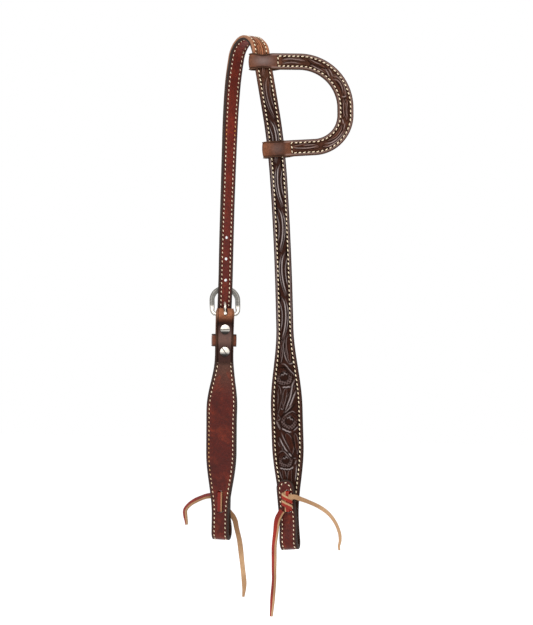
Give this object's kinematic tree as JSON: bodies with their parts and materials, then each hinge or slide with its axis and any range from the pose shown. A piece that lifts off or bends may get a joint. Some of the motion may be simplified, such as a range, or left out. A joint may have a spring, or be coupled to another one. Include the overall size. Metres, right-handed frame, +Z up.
{
  "type": "western headstall",
  "caption": "One-ear bridle headstall of lined, tooled leather with a buckle on the near cheek and laced bit ends.",
  "frame": {"origin": "underside of the crown's highest point, where it rests on the poll", "axes": "+Z up along the hanging straps, +X towards the ear's side as seen from the off side, +Y from the off cheek to the near cheek"},
  "size_m": [0.1815, 0.0571, 0.5743],
  "materials": {
    "outer_leather": "dark brown, tooled, satin",
    "lining_leather": "burgundy brown, smooth, waxed",
    "plain_leather": "brown, smooth, waxed",
    "lace_leather": "red brown with a tan flesh side",
    "nickel": "nickel plate"
  },
  "bodies": {
    "straps": {"crown_outer_layer": "outer_leather", "crown_lining": "lining_leather", "off_tie_knot": "lace_leather", "off_lace_long_tail": "lace_leather", "off_lace_short_tail": "lace_leather", "near_cheek_outer_layer": "outer_leather", "near_cheek_lining": "lining_leather", "keeper_loop": "plain_leather", "upper_screw": "nickel", "upper_screw_post": "nickel", "lower_screw": "nickel", "lower_screw_post": "nickel", "near_tie_knot": "lace_leather", "near_lace_long_tail": "lace_leather", "near_lace_short_tail": "lace_leather"},
    "buckle": {"buckle_frame": "nickel"},
    "tongue": {"buckle_tongue": "nickel"},
    "ear": {"ear_outer_layer": "outer_leather", "ear_lining": "lining_leather"}
  },
  "joints": [
    {"name": "ear_slide", "type": "slide", "parent": "straps", "child": "ear", "axis": [0.1575, 0, -0.9875], "range_m": [0, 0.018]},
    {"name": "buckle_tilt", "type": "hinge", "parent": "straps", "child": "buckle", "pos_m": [-0.02696, 0.00956, -0.27321], "axis": [0.9334, 0.3584, -0.0187], "range_deg": [-1.2, 1.2]},
    {"name": "tongue_swing", "type": "hinge", "parent": "buckle", "child": "tongue", "pos_m": [-0.02696, 0.00956, -0.27321], "axis": [-0.9334, -0.3584, 0.0187], "range_deg": [0, 1]}
  ]
}
